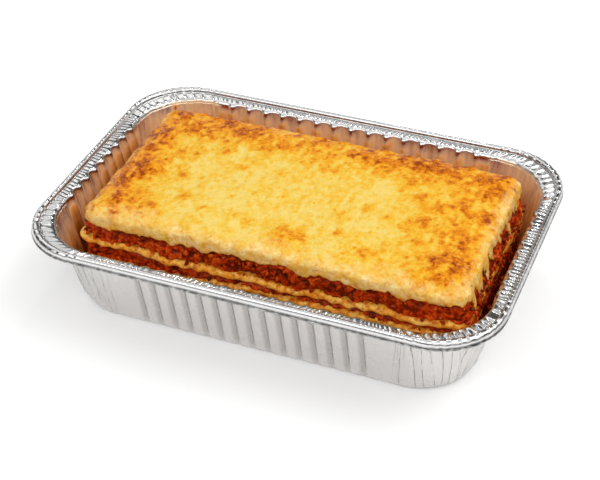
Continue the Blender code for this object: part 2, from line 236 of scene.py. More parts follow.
# Colours, linear
CHEESE_COLOURS = (
    (0.0, (0.935, 0.69, 0.18)),
    (0.14, (0.93, 0.6, 0.075)),
    (0.3, (0.92, 0.48, 0.024)),
    (0.45, (0.9, 0.36, 0.01)),
    (0.6, (0.8, 0.255, 0.005)),
    (0.78, (0.64, 0.16, 0.002)),
    (1.0, (0.33, 0.05, 0.001)),
)
CREAM_DOT_COLOUR = (0.86, 0.33, 0.022)
CREAM_PALE_COLOUR = (1.0, 0.76, 0.33)
CREAM_DEEP_COLOUR = (0.93, 0.51, 0.075)
SAUCE_COLOURS = (
    (0.0, (0.06, 0.004, 0.001)),
    (0.3, (0.23, 0.016, 0.001)),
    (0.55, (0.5, 0.036, 0.002)),
    (0.8, (0.71, 0.088, 0.004)),
    (1.0, (0.84, 0.18, 0.012)),
)
# Painted shade in the hollows between lumps of mince
SAUCE_HOLLOW_SHADE_COLOUR = (0.03, 0.002, 0.001)
PASTA_COLOURS = (
    (0.35, (0.93, 0.38, 0.025)),
    (0.5, (0.96, 0.53, 0.07)),
    (0.66, (0.97, 0.7, 0.18)),
)
PASTA_STAIN_COLOUR = (0.56, 0.11, 0.004)
FOIL_OUTSIDE_COLOUR = (0.7, 0.68, 0.665)
# Painted shade: the foil's outside is darker down each groove
FOIL_GROOVE_SHADE_COLOUR = (0.52, 0.495, 0.475)
# Painted shade: a dark line along each crease in the wall's corners
FOIL_CREASE_SHADE_COLOUR = (0.28, 0.27, 0.26)
# Painted shade: grey on the rim's bead, under it, along its fold and at the rim's inner edge
FOIL_PAINTED_SHADE_COLOUR = (0.16, 0.155, 0.15)
# Gloss of the food: roughness, specular level and tint
FOOD_GLOSS = {
    "cheese": (0.24, 0.16, (1.0, 0.72, 0.32)),
    "sauce": (0.24, 0.38, (1.0, 0.6, 0.35)),
    "pasta": (0.26, 0.3, (1.0, 0.75, 0.4)),
}
SUBSURFACE_WEIGHT = 0.12
SUBSURFACE_SCALE = 0.002
FLOOR_COLOUR = (0.96, 0.96, 0.955)
FLOOR_SIZE = 6.0
# Painted shade: a dark line down each groove on the foil's inside
FOIL_FURROW_SHADE_COLOUR = (0.34, 0.11, 0.03)
FOIL_STAINS = (
    (0.0, (0.76, 0.755, 0.75)),
    (0.18, (1.0, 0.72, 0.44)),
    (0.42, (1.0, 0.46, 0.12)),
    (0.72, (0.44, 0.125, 0.02)),
    (1.0, (0.14, 0.03, 0.005)),
)
FOLD_HEIGHT = 0.0001
CREASES_PER_CRIMP = 0.45
CORNER_STROKES = 7.0
# Foil by side, from the front round to the left: sauce at the wall's top, the power by which it
# deepens further down (lower is faster), half width of the line of painted shade down each
# groove, and how much painted shade greys the bead and the rim's inner edge
WALL_STAINS = (0.3, 0.4, 0.3, 0.09)
WALL_DEEPENING = (1.2, 1.2, 1.2, 0.75)
SEAM_WIDTHS = (0.0012, 0.0012, 0.0004, 0.001)
BEAD_PAINTED_SHADE = (0.1, 0.55, 0.05, 0.4)
EDGE_PAINTED_SHADE = (0.05, 0.6, 0.0, 0.7)

# Light
KEY_AZIMUTH_TURNS = 4
KEY_DIRECTION = math.radians(141)
WORLD_GLOW = (
    (0.0, 0.85), (0.16, 0.8), (0.24, 0.05), (0.56, 0.06), (0.7, 0.4), (0.82, 0.95), (1.0, 1.05),
)
WORLD_BOXES = ((0.3, 0.0), (0.42, 1.0), (0.72, 1.0), (0.85, 0.0))
WORLD_BOX_GLOW = 1.4
WORLD_STRENGTH = 0.8
LIGHT_TARGET = (0.0, 0.0, 0.02)
FLOOR_GLOW = 0.16
# Lamps: place, size and power
LIGHTS = (
    ("key", (0.75, 0.22, 1.1), (1.1, 0.9), 6.4),
    ("fill", (-0.1, -1.0, 1.1), (1.0, 0.7), 3.9),
    ("glint", (-0.15, 0.85, 1.1), (0.07, 0.07), 1.0),
)


# Noise over arrays of points

def hash_values(cells, seed):
    """A fixed pseudo-random number from 0 to 1 for each whole-number cell."""
    x, y, z = (cells[..., axis].astype(np.int64) for axis in range(3))
    mixed = (x * 73856093) ^ (y * 19349663) ^ (z * 83492791) ^ (seed * 2654435761)
    mixed = (mixed ^ (mixed >> 13)) * 1274126177
    mixed = mixed ^ (mixed >> 16)
    return (mixed & 0xFFFFFF) / float(0xFFFFFF)


def value_noise(points, size, seed=0):
    """Smooth noise from -1 to 1 with features of a given size."""
    scaled = points / size
    cell = np.floor(scaled)
    share = scaled - cell
    share = share * share * share * (share * (share * 6 - 15) + 10)
    total = np.zeros(points.shape[:-1])
    for corner in range(8):
        step = np.array([corner & 1, (corner >> 1) & 1, corner >> 2])
        weight = np.prod(np.where(step == 1, share, 1 - share), axis=-1)
        total += weight * hash_values(cell + step, seed)
    return total * 2 - 1


def layered(points, size, seed=0, layers=3, fade=0.5):
    total = np.zeros(points.shape[:-1])
    strength, whole = 1.0, 0.0
    for layer in range(layers):
        total += strength * value_noise(points, size / 2 ** layer, seed + 17 * layer)
        whole += strength
        strength *= fade
    return total / whole


def nearest_seed(points, size, seed=0):
    """Distance to the nearest of a scatter of seeds, in cell sizes, and that seed's own number."""
    scaled = points / size
    cell = np.floor(scaled)
    best = np.full(points.shape[:-1], 9.0)
    own = np.zeros(points.shape[:-1])
    for step in product((-1, 0, 1), repeat=3):
        other = cell + np.array(step)
        place = np.stack([hash_values(other, seed + axis) for axis in (1, 2, 3)], axis=-1)
        distance = np.linalg.norm(other + place - scaled, axis=-1)
        nearer = distance < best
        best = np.where(nearer, distance, best)
        own = np.where(nearer, hash_values(other, seed + 4), own)
    return best, own


def ease(value, start, end):
    t = np.clip((value - start) / (end - start), 0.0, 1.0)
    return t * t * (3.0 - 2.0 * t)


# Mesh helpers

def make_piece(name, points, faces, material, values):
    """An object with one material and named numbers on its points."""
    mesh = bpy.data.meshes.new(name)
    mesh.from_pydata(points.tolist(), [], faces)
    for key, numbers in values.items():
        numbers = np.asarray(numbers, dtype=np.float32)
        kind, field = ("FLOAT", "value") if numbers.ndim == 1 else ("FLOAT_VECTOR", "vector")
        mesh.attributes.new(key, kind, "POINT").data.foreach_set(field, numbers.reshape(-1))
    mesh.shade_smooth()
    mesh.materials.append(material)
    mesh.update()
    piece = bpy.data.objects.new(name, mesh)
    bpy.context.scene.collection.objects.link(piece)
    return piece


def turned(quarter, x, y):
    """x and y of the front side turned on to the side that each point is on."""
    turn = quarter * math.pi / 2
    return x * np.cos(turn) - y * np.sin(turn), x * np.sin(turn) + y * np.cos(turn)


def ring_faces(ring_count, ring_size):
    """Quads between rings that follow each other in one array."""
    index = np.arange(ring_count * ring_size).reshape(ring_count, ring_size)
    lower, upper = index[:-1], index[1:]
    quads = np.stack([lower, np.roll(lower, -1, axis=1), np.roll(upper, -1, axis=1), upper], axis=-1)
    return quads.reshape(-1, 4).tolist()


def ring_piece(name, rings, material, values, close_start=True, close_end=True):
    """A closed piece through rings of points, with a cap at each end."""
    ring_count, ring_size = rings.shape[:2]
    faces = ring_faces(ring_count, ring_size)
    if close_start:
        faces.append(list(range(ring_size - 1, -1, -1)))
    if close_end:
        last = (ring_count - 1) * ring_size
        faces.append(list(range(last, last + ring_size)))
    count = ring_count * ring_size
    flat_values = {key: numbers.reshape(count, -1).squeeze() for key, numbers in values.items()}
    return make_piece(name, rings.reshape(-1, 3), faces, material, flat_values)


def ring_normals(rings):
    """Outward normals of a stack of rings."""
    along = np.roll(rings, -1, axis=1) - np.roll(rings, 1, axis=1)
    across = np.gradient(rings, axis=0)
    normal = np.cross(along, across)
    return normal / np.maximum(np.linalg.norm(normal, axis=-1, keepdims=True), 1e-12)


# Slab outline: points round the food that all layers share

def leaned(x, z):
    """The slab's left end leans in towards the top."""
    lean = np.clip(LEAN_SLOPE * (z - LEAN_FROM), 0.0, LEAN_MOST)
    return x + lean * ease(x, LEAN_END, SLAB_CENTRE[0] - SLAB_LENGTH / 2)


def slumped(z):
    """How far the right face has slid outwards between the cheese and the tray's floor."""
    return RIGHT_SLUMP * ease(z, *SLUMP_FROM) * ease(z, *SLUMP_END)


class SlabOutline:
    """Points round the slab: quarter, place along it, and share of the whole turn."""

    def __init__(self, step):
        rows = []
        start = 0
        total = 2 * (LONG_SIDE_STEPS + SHORT_SIDE_STEPS) + 4 * SLAB_CORNER_STEPS
        corner_count = max(int(round(SLAB_CORNER_RADIUS * math.pi / 2 / step)), 4)
        for quarter in range(4):
            length, steps = ((SLAB_LENGTH, LONG_SIDE_STEPS), (SLAB_WIDTH, SHORT_SIDE_STEPS))[quarter % 2]
            side_count = int(round((length - 2 * SLAB_CORNER_RADIUS) / step))
            for corner, count, run in ((0, side_count, steps), (1, corner_count, SLAB_CORNER_STEPS)):
                for index in range(count):
                    place = index / count * math.pi / 2 if corner else 2 * index / count - 1
                    rows.append((quarter, corner, place, (start + run * index / count) / total))
                start += run
        quarter, corner, self.place, self.share = np.array(rows).T
        self.quarter = quarter.astype(int)
        self.corner = corner == 1
        self.angle = np.where(self.corner, self.place, 0.0)
        self.count = len(rows)
        self.outline = self.points(0.0)

    def ring(self, inset=0.0, push=0.0):
        """x and y of each point, moved in by an inset and out by a push."""
        radius = max(SLAB_CORNER_RADIUS - inset, 0.0)
        half_x = SLAB_LENGTH / 2 - inset - radius
        half_y = SLAB_WIDTH / 2 - inset - radius
        long_side = self.quarter % 2 == 0
        along = np.where(long_side, half_x, half_y)
        out = np.where(long_side, half_y, half_x)
        x = along * np.where(self.corner, 1.0, self.place) + (radius + push) * np.sin(self.angle)
        y = -out - (radius + push) * np.cos(self.angle)
        x, y = turned(self.quarter, x, y)
        return SLAB_CENTRE[0] + x, SLAB_CENTRE[1] + y

    def side(self, quarter):
        """1 on one side of the slab, easing to 0 round its corners."""
        turn = self.angle / (math.pi / 2)
        return (self.quarter == quarter) * (1.0 - turn) + (self.quarter == (quarter - 1) % 4) * turn

    def wave(self, counts, shift):
        turn = self.share * 2 * math.pi
        return sum(np.sin(count * turn + shift * count) for count in counts) / len(counts)

    def points(self, height, inset=0.0, push=0.0):
        z = np.broadcast_to(height, self.share.shape)
        x, y = self.ring(inset, push + (self.side(1) * slumped(z) if inset == 0.0 else 0.0))
        return np.stack([leaned(x, z), y, z], axis=-1)


def layer_edges(slab):
    """Edge height of each face between two layers, from the bottom up."""
    x = slab.ring()[0]
    sheet = SHEET_WAVE * slab.wave(SHEET_WAVES, 1.3)
    waves = {"floor": 0.0, "cheese_bottom": CHEESE_EDGE_WAVE * slab.wave(CHEESE_WAVES, 2.1)}
    return {
        name: level + waves.get(name, sheet) - droop * ease(x, *LEFT_DROOP) + lift * ease(x, *LEFT_LIFT)
        for name, (level, droop, lift) in FACES.items()
    }


# Tray mesh

class TrayOutline:
    """Points round the tray, at even steps from the middle of each side and round each corner."""

    def __init__(self, step):
        rows = []
        run = 0.0
        for quarter in range(4):
            half = (TRAY_LENGTH if quarter % 2 == 0 else TRAY_WIDTH) / 2 - RIM_CORNER_RADIUS
            count = int(half / step)
            for index in range(-count, count + 1):
                rows.append((quarter, 0, index * step, run + half + index * step))
            run += 2 * half
            arc = RIM_CORNER_RADIUS * math.pi / 2
            corner_count = int(round(arc / step))
            for index in range(corner_count):
                place = index / corner_count * math.pi / 2
                rows.append((quarter, 1, place, run + arc * index / corner_count))
            run += arc
        quarter, corner, place, self.run = np.array(rows).T
        self.quarter = quarter.astype(int)
        self.long_side = self.quarter % 2 == 0
        self.corner = corner == 1
        self.half = np.where(self.long_side, TRAY_LENGTH, TRAY_WIDTH) / 2 - RIM_CORNER_RADIUS
        self.along = np.where(self.corner, self.half, place)
        self.angle = np.where(self.corner, place, 0.0)
        self.perimeter = run
        self.count = len(rows)
        self.pitch = np.where(self.quarter == 2, BACK_PLEAT_PITCH, PLEAT_PITCH)
        from_end = self.half - np.abs(self.along)
        self.in_corner = np.where(self.corner, 1.0, ease(from_end, CORNER_EASE, 0.0))

    def around(self, height, slant=0.0):
        """Places on a drum as long round as the tray, for noise that has no seam."""
        turn = (self.run + slant) / self.perimeter * 2 * math.pi
        radius = self.perimeter / (2 * math.pi)
        level = np.full(self.count, height)
        return np.stack([radius * np.cos(turn), radius * np.sin(turn), level], axis=-1)

    def by_side(self, values):
        """Each point's value for its side, easing round the corners."""
        values = np.array(values)
        turn = self.angle / (math.pi / 2)
        return values[self.quarter] * (1 - turn) + values[(self.quarter + 1) % 4] * turn

    def pleats(self):
        """Grooves, a thinner line of painted shade down each, and the panels between them, as shares."""
        count = np.where(self.long_side, PLEATS_LONG_SIDE, PLEATS_SHORT_SIDE)
        phase = self.along / self.pitch + (count - 1) / 2
        nearest = np.clip(np.round(phase), 0, count - 1)
        off = np.abs(phase - nearest) * self.pitch
        groove = ease(off, PLEAT_HALF_WIDTH + PLEAT_SLOPE, PLEAT_HALF_WIDTH - PLEAT_SLOPE)
        width = self.by_side(SEAM_WIDTHS)
        seam = ease(off - width, PLEAT_SLOPE, -PLEAT_SLOPE)
        panel = 0.5 - 0.5 * np.cos(2 * math.pi * phase)
        panel = np.where((phase < 0) | (phase > count - 1), 0.0, panel)
        return [np.where(self.corner, 0.0, share) for share in (groove, seam, panel)]

    def ring(self, length, width, radius, push):
        """x and y on a rounded rectangle, pushed out by an amount at each point."""
        half_along = np.where(self.long_side, length, width) / 2 - radius
        half_out = np.where(self.long_side, width, length) / 2 - radius
        pleated = np.where(self.long_side, PLEATS_LONG_SIDE, PLEATS_SHORT_SIDE) * self.pitch / 2
        beyond = np.clip((np.abs(self.along) - pleated) / (self.half - pleated), 0.0, 1.0)
        straight = np.sign(self.along) * (
            np.minimum(np.abs(self.along), pleated) + beyond * (half_along - pleated)
        )
        x = np.where(self.corner, half_along, straight) + (radius + push) * np.sin(self.angle)
        y = -half_out - (radius + push) * np.cos(self.angle)
        return turned(self.quarter, x, y)


def tray_rows():
    """Rows from lip to floor: part, inset or share of the wall, height, crimp, groove, bulge."""
    rows = []
    for inset, drop, crimp, pleat in RIM_ROWS:
        rows.append(("rim", inset * MM, TRAY_HEIGHT - drop * MM, crimp, pleat, pleat))
    for row in range(WALL_ROWS):
        share = WALL_SHARE_TOP - WALL_SHARE_SPAN * row / (WALL_ROWS - 1)
        height = WALL_BOTTOM + (WALL_TOP - WALL_BOTTOM) * share
        groove = (0.7, 0.9)[row] if row < 2 else 1.0
        rows.append(("wall", share, height, 0.0, groove, 1.0 - 0.85 * row / WALL_ROWS))
    for inset, height, groove in BASE_ROWS:
        rows.append(("base", inset * MM, height * MM, 0.0, groove, 0.0))
    return rows


def sharp(noise_values):
    """Noise folded into crests."""
    return 1.0 - 2.0 * np.abs(noise_values)


def crimp_wander(tray, inset):
    """How far each crimp strays from even spacing and from square across the rim, in crimps."""
    round_rim = tray.around(0.0)
    slant = CRIMP_SLANT * inset * value_noise(round_rim, 0.025, 13)
    return CRIMP_WANDER * layered(round_rim, 0.0065, 3, 2) + slant


def crimp_strength(tray):
    return np.clip(0.75 + 0.6 * value_noise(tray.around(0.0), 0.009, 7), 0.1, 1.3)


def rim_crimps(tray, inset):
    """Folds pressed across the rim: low and close on the sides, wide and deep in the corners."""
    turn = 2 * math.pi * (tray.run / tray.perimeter * CRIMP_COUNT + crimp_wander(tray, inset))
    side = np.sin(turn) + 0.35 * np.sin(2 * turn + 1.0)
    corner = np.sin(turn / 2) + 0.4 * np.sin(turn)
    share = tray.in_corner
    relief = CRIMP_DEPTH * side * (1 - share) + CORNER_CRIMP_DEPTH * corner * share
    return relief * crimp_strength(tray)


def corner_flutes(tray, height):
    """Slanting wrinkles down the corners of the wall."""
    around = tray.around(height * 0.12, height * 0.25)
    return sharp(value_noise(around, 0.0036, 31)) - 0.4 + 0.6 * value_noise(around, 0.0019, 37)


def foil_stain_and_shade(tray, kind, place, height, panels):
    """Sauce on the foil: a smear at the rim's inner edge, more of it further down the wall, and painted
    shade.
    """
    top = tray.by_side(WALL_STAINS)
    arch = np.maximum(panels, tray.in_corner)
    patch = layered(tray.around(height * 0.3), 0.009, 41, 3)
    if kind == "rim":
        return np.clip(top * arch * ease(place, 0.0076, 0.0086) * (0.8 + 0.8 * patch), 0.0, 1.0)
    streak = value_noise(tray.around(height * 0.03), 0.0016, 43)
    depth = np.clip((WALL_TOP - height) / (WALL_TOP - WALL_BOTTOM), 0.0, 1.0)
    stain_and_shade = top + (1.0 - top) * depth ** tray.by_side(WALL_DEEPENING)
    # Painted shade: lighter in the middle of each panel, darker towards the grooves
    stain_and_shade = stain_and_shade + 0.26 * patch + 0.1 * streak + 0.26 * (0.6 - arch)
    return np.clip(stain_and_shade, 0.03, 1.0) * (arch if place > 0.98 else 1.0)


def foil_painted_shade(tray, kind, inset, height):
    """Painted shade: grey on the bead's outer face and under it, and along the fold between the bead and
    the shelf.
    """
    if kind != "rim":
        return np.zeros(tray.count)
    drop = TRAY_HEIGHT - height
    speckle = 0.75 + 0.6 * layered(tray.around(inset), 0.0014, 47, 2)
    under = 0.85 * ease(drop, 0.0023, 0.0032) if inset < 0.001 else 0.0
    fold = 0.6 * math.exp(-((inset - BEAD_WIDTH) / 0.0004) ** 2)
    bead = tray.by_side(BEAD_PAINTED_SHADE) * (inset < 0.003)
    edge = tray.by_side(EDGE_PAINTED_SHADE) * ease(inset, 0.0062, 0.007)
    return np.clip((under + fold + bead + edge) * speckle, 0.0, 0.95)


def build_tray(inside, outside):
    tray = TrayOutline(PLEAT_PITCH / STEPS_PER_PLEAT)
    grooves, seams, panels = tray.pleats()
    rings, rows = [], []
    for kind, place, height, crimp, groove, panel in tray_rows():
        on_rim = kind == "rim"
        if on_rim:
            crimp = crimp + CORNER_BEAD_CRIMP * tray.in_corner * (place < BEAD_WIDTH)
            length, width = TRAY_LENGTH - 2 * place, TRAY_WIDTH - 2 * place
            radius = RIM_CORNER_RADIUS + (WALL_TOP_RADIUS - RIM_CORNER_RADIUS) * place / RIM_WIDTH
        elif kind == "wall":
            length = BASE_LENGTH + (TRAY_LENGTH - 2 * RIM_WIDTH - BASE_LENGTH) * place
            width = BASE_WIDTH + (TRAY_WIDTH - 2 * RIM_WIDTH - BASE_WIDTH) * place
            radius = BASE_CORNER_RADIUS + (WALL_TOP_RADIUS - BASE_CORNER_RADIUS) * place
        else:
            length, width = BASE_LENGTH - 2 * place, BASE_WIDTH - 2 * place
            radius = max(BASE_CORNER_RADIUS - place, LEAST_RADIUS)
        push = -grooves * PLEAT_DEPTH * groove + panels * PANEL_BULGE * panel
        push = push + tray.in_corner * groove * CORNER_FLUTE * corner_flutes(tray, height)
        x, y = tray.ring(length, width, radius, push)
        z = height + (crimp * rim_crimps(tray, place) if on_rim else 0.0 * x)
        rings.append(np.stack([x, y, z], axis=-1))
        wander = crimp_wander(tray, place if on_rim else RIM_WIDTH - height * CREASE_LEAN)
        corner = tray.in_corner if on_rim else -tray.in_corner * groove
        rows.append({
            # sauce on the foil, with painted shade lighter in panel middles and darker towards the
            # grooves
            "stain_and_shade": foil_stain_and_shade(tray, kind, place, height, panels),
            # where painted shade darkens the outside down each groove
            "groove": grooves * groove * (not on_rim),
            # the line of painted shade down each groove inside
            "seam": seams * groove * (not on_rim),
            # grey painted shade on the bead, under it, along its fold and at the rim's inner edge
            "painted_shade": foil_painted_shade(tray, kind, place, height),
            "around": tray.around(place if on_rim else height * 0.1),
            "crimp": np.stack([wander, crimp * crimp_strength(tray), corner], axis=-1),
        })
    rings = np.array(rings)
    rings[:, :, 2] = np.clip(rings[:, :, 2], FOIL_THICKNESS, TRAY_HEIGHT)
    values = {key: np.array([row[key] for row in rows]) for key in rows[0]}
    piece = ring_piece("foil_shell", rings, inside, values, close_start=False)
    piece.data.materials.append(outside)
    shell = piece.modifiers.new("foil thickness", "SOLIDIFY")
    shell.thickness = FOIL_THICKNESS
    shell.offset = -1.0
    shell.material_offset = 1
    shell.material_offset_rim = 0
    return piece


# Food meshes

def side_rings(slab, bottom, top, rows, push):
    """Points of a layer's side, from its bottom edge to its top edge."""
    rings = []
    for row in range(rows):
        share = row / (rows - 1)
        rings.append(slab.points(bottom + (top - bottom) * share, push=push(share)))
    return np.array(rings)


def layer_faces(slab, edges, lower, upper):
    """A layer's edge heights below and above, and the rings round its flat middles."""
    inset = FOOT_INSET if lower == "floor" else FLAT_INSET
    flat_low = slab.points(FACES[lower][0] + LAYER_GAP, inset)[None]
    flat_high = slab.points(FACES[upper][0] - LAYER_GAP, FLAT_INSET)[None]
    return edges[lower] + LAYER_GAP, edges[upper] - LAYER_GAP, flat_low, flat_high


def mince_relief(points, seed):
    """How far lumps of mince stand out, and each lump's own number."""
    warp = np.stack([layered(points, 0.0035, seed + 40 + axis, 3) for axis in range(3)], axis=-1)
    moved = points + warp * 0.0014
    relief, own = 0.0, 0.0
    for scale, height, tone, shift in MINCE_LUMPS:
        distance, number = nearest_seed(moved, MINCE_SIZE * scale, seed + shift)
        lump = np.clip(1.0 - distance * distance * 1.5, 0.0, 1.0) ** 0.6
        relief = relief + height * lump * (0.3 + 0.7 * number)
        own = own + tone * number
    return np.maximum(relief, 0.24 + 0.12 * value_noise(points, 0.006, seed + 60)), own


def sauce_drips(slab, seed, depth):
    """How far the sauce hangs over the pasta below it at each point."""
    along = slab.outline
    wide = ease(layered(along, DRIP_SIZE, seed, 2), -0.1, 0.5)
    narrow = ease(layered(along, DRIP_SIZE * 0.35, seed + 5, 2), 0.0, 0.6)
    right = slab.side(1)
    drip = depth * (0.75 * wide + 0.35 * narrow) * (1.0 + 0.5 * right)
    return np.maximum(drip, RIGHT_DRIP * right * (0.6 + 0.6 * narrow))


def build_sauce(name, slab, edges, layer, material):
    """A sauce layer whose side is crowded with mince and hangs over the pasta below it."""
    lower, upper, rows, seed, depth, room = layer
    bottom, top, flat_low, flat_high = layer_faces(slab, edges, lower, upper)
    drip = sauce_drips(slab, seed, depth * MM) if depth else np.zeros(slab.count)
    over = DRIP_REACH * ease(drip, 0.0, 0.0008) * (1.0 - 0.75 * slab.side(1))
    hang = over + 0.0003 * (depth > 0)
    rings = side_rings(
        slab, bottom - drip, top, rows,
        lambda share: SAUCE_BASE_PUSH * math.sin(math.pi * share) ** 0.5 + hang * (1.0 - share) ** 0.8,
    )
    normals = ring_normals(rings)
    relief, own = mince_relief(rings, seed)
    swell = layered(rings, 0.014, seed + 3, 2)
    share = np.linspace(0.0, 1.0, rows)[:, None]
    fade = np.clip((1.0 - share) * 6.0, 0.0, 1.0)
    amount = MINCE_DEPTH * (relief - 0.4) + SAUCE_SWELL * swell
    under_cheese = ease(rings[..., 2], CHEESE_BOTTOM - 0.009, CHEESE_BOTTOM - 0.005)
    amount = amount * (1.0 - room * under_cheese * slab.side(1)[None, :])
    normals[..., 2] *= 0.4
    rings = rings + normals * (amount * (0.3 + 0.7 * fade))[..., None]
    stack = np.concatenate([flat_low, slab.points(bottom)[None], rings, flat_high])
    source = [0, 0, *range(rows), rows - 1]
    # the relief also sets the painted shade in the hollows between lumps
    return ring_piece(name, stack, material, {"tone": own[source], "relief": relief[source]})


def build_pasta(name, slab, edges, layer, material):
    """A pasta sheet that stands out of the stack in a soft rippled lip."""
    lower, upper, rows, shift = layer
    bottom, top, flat_low, flat_high = layer_faces(slab, edges, lower, upper)
    along = slab.outline
    right = slab.side(1)
    lip = (PASTA_LIP + PASTA_LIP_WAVE * slab.wave(SHEET_WAVES, shift)) * (1.0 - 0.45 * right)
    lip = lip + 0.0005 * layered(along, 0.01, int(shift * 90), 2)
    from_end = along[:, 0] - SLAB_CENTRE[0] + SLAB_LENGTH / 2
    tip = np.hypot(from_end, along[:, 1] - SLAB_CENTRE[1] + SLAB_WIDTH / 2)
    lip = lip + PASTA_TIP * np.exp(-(tip / 0.0035) ** 2)
    rings = side_rings(slab, bottom, top, rows, lambda share: lip * math.sin(math.pi * share) ** 0.4)
    phase = along[:, 0] + along[:, 1] + RIPPLE_DRIFT * layered(along, 0.02, int(shift * 70), 2)
    ripple = RIPPLE_HEIGHT * np.sin(2 * math.pi * phase / RIPPLE_LENGTH + shift)
    ripple = ripple * (0.7 + 0.6 * value_noise(along, 0.018, 55))
    share = np.linspace(0.0, 1.0, rows)[:, None]
    middle = np.sin(math.pi * np.clip(share, 0.0, 1.0)) ** 0.6
    rings[..., 2] += ripple[None, :] * middle
    normals = ring_normals(rings)
    swell = layered(rings, 0.009, int(shift * 100), 3)
    rings = rings + normals * (swell * 0.0004 * middle)[..., None]
    stack = np.concatenate([flat_low, rings, flat_high])
    share_up = np.broadcast_to(share, rings.shape[:2]) + 0.15 * swell + 0.12 * right[None, :]
    share_up = np.concatenate([np.zeros((1, slab.count)), share_up, np.ones((1, slab.count))])
    return ring_piece(name, stack, material, {"share_up": share_up})


def lip_drop(slab):
    """How far the cheese hangs: a soft wavy lip, drips in front, tongues on the right."""
    x, y = slab.ring()
    drop = LIP_DROP + LIP_DROP_WAVE * slab.wave(CHEESE_WAVES, 0.4)
    kinds = ((FRONT_DRIPS, x, 0, 1.0, 1.0), (RIGHT_TONGUES, y, 1, 0.8, 0.35))
    for drips, along, side, power, behind in kinds:
        for centre, half_width, length in drips:
            for quarter, middle, share in ((side, centre * MM, 1.0), (side + 2, -centre * MM, behind)):
                bump = ease(np.abs(along - middle), half_width * MM, 0.0)
                drop = drop + slab.side(quarter) * bump ** power * length * share * MM
    ragged = LIP_RAGGED * slab.side(1) * layered(slab.outline, 0.0018, 63, 2)
    return drop + 0.0014 * layered(slab.outline, 0.0036, 61, 3) + ragged


def catmull_rows(controls, count):
    """Smooth rows through control rows."""
    last = len(controls) - 1
    padded = np.concatenate([controls[:1], controls, controls[-1:]])
    rows = []
    for place in np.linspace(0.0, last, count):
        index = min(int(place), last - 1)
        t = place - index
        a, b, c, d = padded[index:index + 4]
        rows.append(0.5 * (
            2 * b + (c - a) * t + (2 * a - 5 * b + 4 * c - d) * t * t + (3 * b - a - 3 * c + d) * t ** 3
        ))
    return np.array(rows)


def cheese_height(x, y):
    """The cheese's upper face: low swells with raised browned patches and small bubbles."""
    flat_x, flat_y = x.reshape(-1), y.reshape(-1)
    swell = [noise.noise(Vector((px / 0.03, py / 0.03, 0.7))) for px, py in zip(flat_x, flat_y)]
    height = CHEESE_TOP - 0.0003 + 0.0008 * np.array(swell).reshape(x.shape)
    for px, py, radius, strength in BROWN_PATCHES:
        distance = np.hypot(x - px * MM, y - py * MM)
        rise = BLISTER_RISE * strength * min(radius / 8.0, 1.0)
        height = height + rise * ease(distance, radius * MM, 0.0)
    points = np.stack([x, y, np.full_like(x, 0.3)], axis=-1)
    height = height + 0.0003 * layered(points, 0.0085, 71, 3) + SPOT_RISE * brown_spots(x, y)
    return np.minimum(height, CHEESE_PEAK)


def soft_patch(x, y, patch):
    """A browned patch's share at each point, with a soft uneven edge."""
    px, py, radius, strength = patch
    distance = np.hypot(x - px * MM, y - py * MM) / (radius * MM)
    return strength * np.exp(-1.6 * distance ** 2.2)


def browning(points):
    """How browned the cheese is at each point, from 0 to about 1."""
    flat = points * np.array([1.0, 0.72, 0.2])
    warp_x = 0.003 * layered(flat, 0.008, 81, 3)
    warp_y = 0.0026 * layered(flat, 0.008, 91, 3)
    x, y = points[..., 0] + warp_x, points[..., 1] + warp_y
    clear = np.ones(x.shape)
    near_x, near_y = points[..., 0] + 0.4 * warp_x, points[..., 1] + 0.4 * warp_y
    for patch in BROWN_PATCHES:
        clear = clear * (1.0 - np.clip(soft_patch(near_x, near_y, patch), 0.0, 0.95))
    patches = 1.0 - clear
    left = ease(x, -0.044, -0.082)
    right = ease(x, 0.034, 0.08)
    back = ease(y, 0.01, 0.04)
    zone = 1.0 - (1.0 - 0.85 * left) * (1.0 - 0.45 * right) * (1.0 - 0.78 * back)
    wide = layered(flat, 0.012, 101, 3, 0.6)
    mottle = ease(layered(flat, 0.004, 131, 3, 0.65), -0.3, 0.4)
    fine = layered(flat, 0.002, 151, 2)
    spots = brown_spots(x, y)
    brown = 0.04 + 0.12 * wide + 0.14 * mottle + 0.08 * fine + 0.28 * spots
    brown = brown + zone * (0.42 + 0.32 * mottle + 0.22 * wide + 0.16 * fine)
    unbrowned = 1.0 - 0.45 * np.clip(brown, 0.0, 1.0)
    brown = brown + patches * (0.36 + 0.32 * mottle + 0.18 * fine) * unbrowned
    return np.where(brown > 0.6, 0.6 + 0.4 * np.tanh((brown - 0.6) / 0.4), np.maximum(brown, 0.0))


def brown_spots(x, y):
    """Small browned spots scattered over the cheese, each with its own size and depth."""
    place = np.stack([x / SPOT_SPACING, 0.72 * y / SPOT_SPACING], axis=-1)
    cell = np.floor(place)
    spots = np.zeros(x.shape)
    for step in product((-1, 0, 1), repeat=2):
        other = cell + np.array(step)
        key = np.concatenate([other, np.zeros(other.shape[:-1] + (1,))], axis=-1)
        middle = np.stack([hash_values(key, 161), hash_values(key, 162)], axis=-1)
        distance = np.linalg.norm(other + middle - place, axis=-1)
        radius = 0.1 + 0.22 * hash_values(key, 163) ** 2
        strength = np.clip(hash_values(key, 164) * 1.7 - 0.5, 0.0, 1.0)
        spots = np.maximum(spots, strength * ease(distance, radius, radius * 0.2))
    return spots


